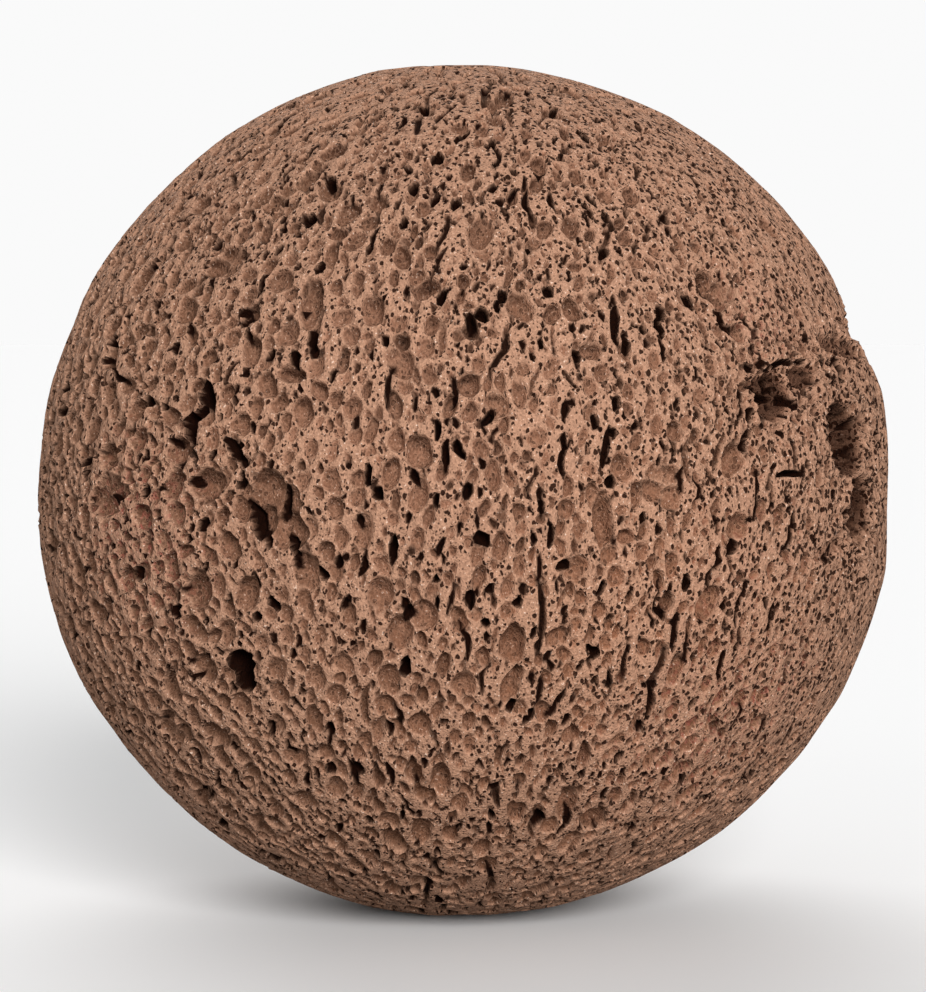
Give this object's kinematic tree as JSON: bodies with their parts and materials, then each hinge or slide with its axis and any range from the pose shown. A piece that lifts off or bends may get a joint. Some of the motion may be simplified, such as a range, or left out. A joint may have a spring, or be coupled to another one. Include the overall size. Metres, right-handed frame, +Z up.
{
  "type": "lava rock",
  "caption": "Ball of brown vesicular lava rock (scoria), pitted all over with gas-bubble hollows, chipped on one flank, with a small worn flat to stand on.",
  "frame": {"origin": "middle of the small worn flat under the ball, where it meets the ground", "axes": "+Z up, -Y towards the front (the side with the coarse foam on the left and the chipped flank on the right), +X to the right"},
  "size_m": [0.2996, 0.2998, 0.2981],
  "materials": {
    "scoria": "matte"
  },
  "bodies": {
    "root": {"lava_rock": "scoria"}
  },
  "joints": []
}
